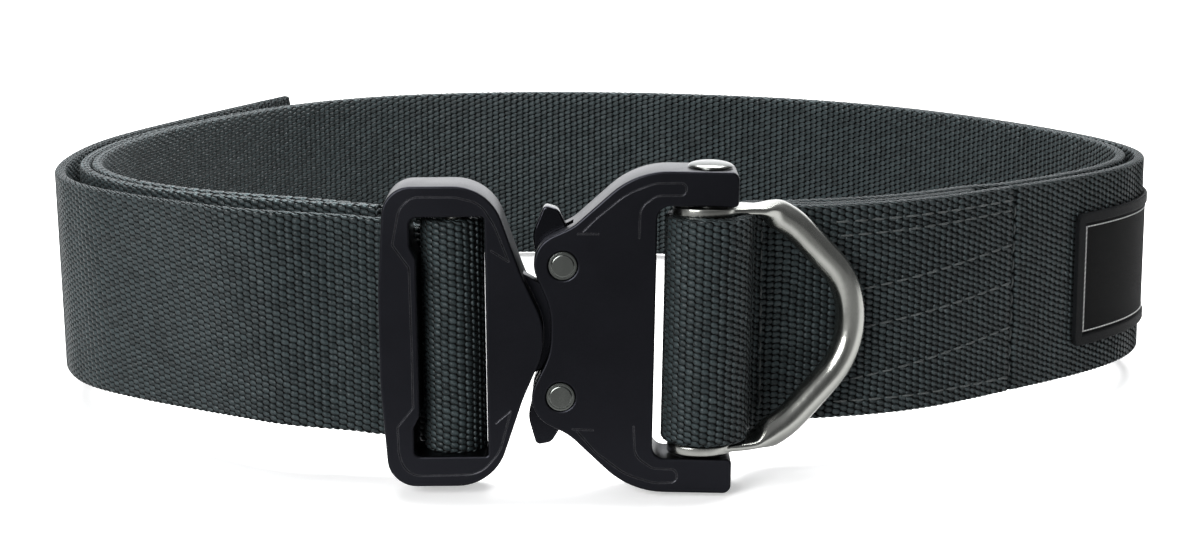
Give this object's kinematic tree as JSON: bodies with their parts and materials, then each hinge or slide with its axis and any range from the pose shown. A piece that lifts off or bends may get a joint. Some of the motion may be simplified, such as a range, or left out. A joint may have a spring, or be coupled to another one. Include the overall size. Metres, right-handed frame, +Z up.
{
  "type": "rigger belt",
  "caption": "Waist belt of doubled nylon webbing, closed by a two-lever quick-release buckle that carries a swinging steel ring for a tether.",
  "frame": {"origin": "middle of the belt's footprint, on the surface it stands on", "axes": "+X to the ring side as seen from the buckle, +Y from the buckle to the back, +Z up through the waist"},
  "size_m": [0.248, 0.2148, 0.0659],
  "materials": {
    "tape": "dark grey-green woven nylon webbing",
    "black_metal": "satin black anodised",
    "steel": "polished stainless steel",
    "label": "black satin weave with a pale sewn line"
  },
  "bodies": {
    "belt": {"webbing_outer_leg": "tape", "webbing_inner_leg": "tape", "webbing_tail": "tape", "label_patch": "label", "adjuster_frame": "black_metal", "adjuster_bar": "steel", "latch_body": "black_metal", "rivet_upper": "steel", "rivet_lower": "steel", "ring_pin": "steel"},
    "ring": {"d_ring": "steel"},
    "upper_lever": {"lever_upper": "black_metal"},
    "lower_lever": {"lever_lower": "black_metal"}
  },
  "joints": [
    {"name": "ring_swing", "type": "hinge", "parent": "belt", "child": "ring", "pos_m": [0.01864, -0.09774, 0.03238], "axis": [-0.0192, -0.0492, -0.9986], "range_deg": [0, 148]},
    {"name": "upper_lever_press", "type": "hinge", "parent": "belt", "child": "upper_lever", "pos_m": [-0.0096, -0.09706, 0.04601], "axis": [0, -0.9988, 0.0492], "range_deg": [0, 10], "stiffness_Nm_per_rad": 0.4, "springref_deg": -5.73},
    {"name": "lower_lever_press", "type": "hinge", "parent": "belt", "child": "lower_lever", "pos_m": [-0.0101, -0.09835, 0.01985], "axis": [0, 0.9988, -0.0492], "range_deg": [0, 6], "stiffness_Nm_per_rad": 0.4, "springref_deg": -5.73}
  ]
}
